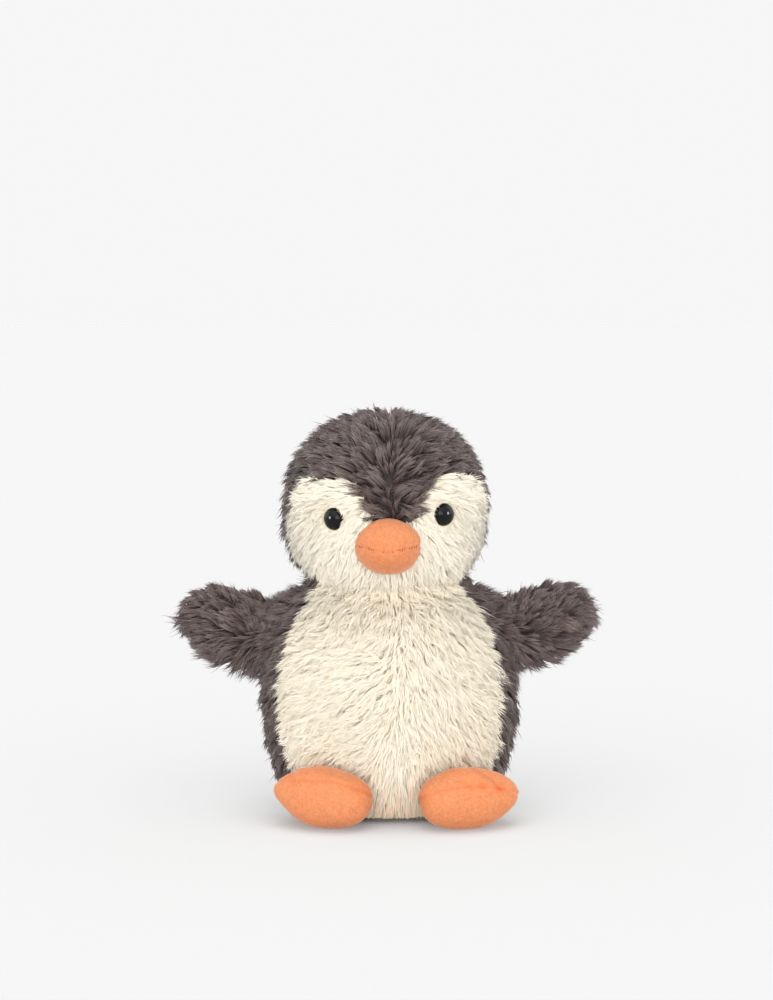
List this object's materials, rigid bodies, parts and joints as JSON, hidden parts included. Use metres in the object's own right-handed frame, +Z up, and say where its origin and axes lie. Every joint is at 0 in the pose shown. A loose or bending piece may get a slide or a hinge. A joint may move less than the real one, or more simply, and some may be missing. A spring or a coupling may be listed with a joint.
{
  "type": "plush penguin",
  "caption": "Sitting plush penguin of long-pile fabric with suede beak and feet, glossy eyes, a head that turns and nods, and wings and feet that bend at their seams.",
  "frame": {"origin": "on the surface that the penguin sits on, under the middle of its bounding box", "axes": "+Z up, -Y the way the penguin looks, +X towards the penguin's own left wing"},
  "size_m": [0.2152, 0.1346, 0.2085],
  "materials": {
    "grey_pile": "matte",
    "cream_pile": "matte",
    "orange_suede": "matte",
    "base_cloth": "matte",
    "fibre_filling": "matte",
    "pouch_calico": "matte",
    "brown_thread": "matte",
    "black_gloss": "gloss",
    "washer_plastic": "satin"
  },
  "bodies": {
    "body": {"belly_panel_left": "cream_pile", "belly_panel_right": "cream_pile", "back_panel_left": "grey_pile", "back_panel_right": "grey_pile", "base_panel": "base_cloth", "pellet_pouch": "pouch_calico", "body_filling": "fibre_filling"},
    "neck": {"neck_filling": "fibre_filling"},
    "head": {"face_panel_left": "cream_pile", "face_panel_right": "cream_pile", "crown_panel_left": "grey_pile", "crown_panel_right": "grey_pile", "head_filling": "fibre_filling", "eye_left": "black_gloss", "eye_right": "black_gloss", "eye_washer_left": "washer_plastic", "eye_washer_right": "washer_plastic", "beak_upper": "orange_suede", "beak_lower": "orange_suede", "beak_filling": "fibre_filling", "beak_seam_thread": "brown_thread"},
    "shoulder_left": {"wing_root_left": "grey_pile"},
    "shoulder_right": {"wing_root_right": "grey_pile"},
    "wing_left": {"wing_front_panel_left": "grey_pile", "wing_back_panel_left": "grey_pile", "wing_filling_left": "fibre_filling"},
    "wing_right": {"wing_front_panel_right": "grey_pile", "wing_back_panel_right": "grey_pile", "wing_filling_right": "fibre_filling"},
    "foot_left": {"foot_upper_left": "orange_suede", "foot_sole_left": "orange_suede", "foot_filling_left": "fibre_filling"},
    "foot_right": {"foot_upper_right": "orange_suede", "foot_sole_right": "orange_suede", "foot_filling_right": "fibre_filling"}
  },
  "joints": [
    {"name": "neck_turn", "type": "hinge", "parent": "body", "child": "neck", "pos_m": [0, 0.013, 0.119], "axis": [0, 0, 1], "range_deg": [-35, 35], "stiffness_Nm_per_rad": 0.4},
    {"name": "neck_nod", "type": "hinge", "parent": "neck", "child": "head", "pos_m": [0, 0.013, 0.119], "axis": [1, 0, 0], "range_deg": [-12, 12], "stiffness_Nm_per_rad": 0.5},
    {"name": "wing_swing_left", "type": "hinge", "parent": "body", "child": "shoulder_left", "pos_m": [0.0605, 0.013, 0.0915], "axis": [0, 0, -1], "range_deg": [-25, 40], "stiffness_Nm_per_rad": 0.08},
    {"name": "wing_swing_right", "type": "hinge", "parent": "body", "child": "shoulder_right", "pos_m": [-0.0605, 0.013, 0.0915], "axis": [0, 0, 1], "range_deg": [-25, 40], "stiffness_Nm_per_rad": 0.08},
    {"name": "wing_flap_left", "type": "hinge", "parent": "shoulder_left", "child": "wing_left", "pos_m": [0.0605, 0.013, 0.0915], "axis": [0, -1, 0], "range_deg": [-20, 35], "stiffness_Nm_per_rad": 0.08},
    {"name": "wing_flap_right", "type": "hinge", "parent": "shoulder_right", "child": "wing_right", "pos_m": [-0.0605, 0.013, 0.0915], "axis": [0, 1, 0], "range_deg": [-20, 35], "stiffness_Nm_per_rad": 0.08},
    {"name": "foot_tip_left", "type": "hinge", "parent": "body", "child": "foot_left", "pos_m": [0.03741, -0.03426, 0.011], "axis": [-0.9511, -0.309, 0], "range_deg": [0, 12], "stiffness_Nm_per_rad": 0.08},
    {"name": "foot_tip_right", "type": "hinge", "parent": "body", "child": "foot_right", "pos_m": [-0.02981, -0.03426, 0.011], "axis": [-0.9511, 0.309, 0], "range_deg": [0, 12], "stiffness_Nm_per_rad": 0.08}
  ]
}
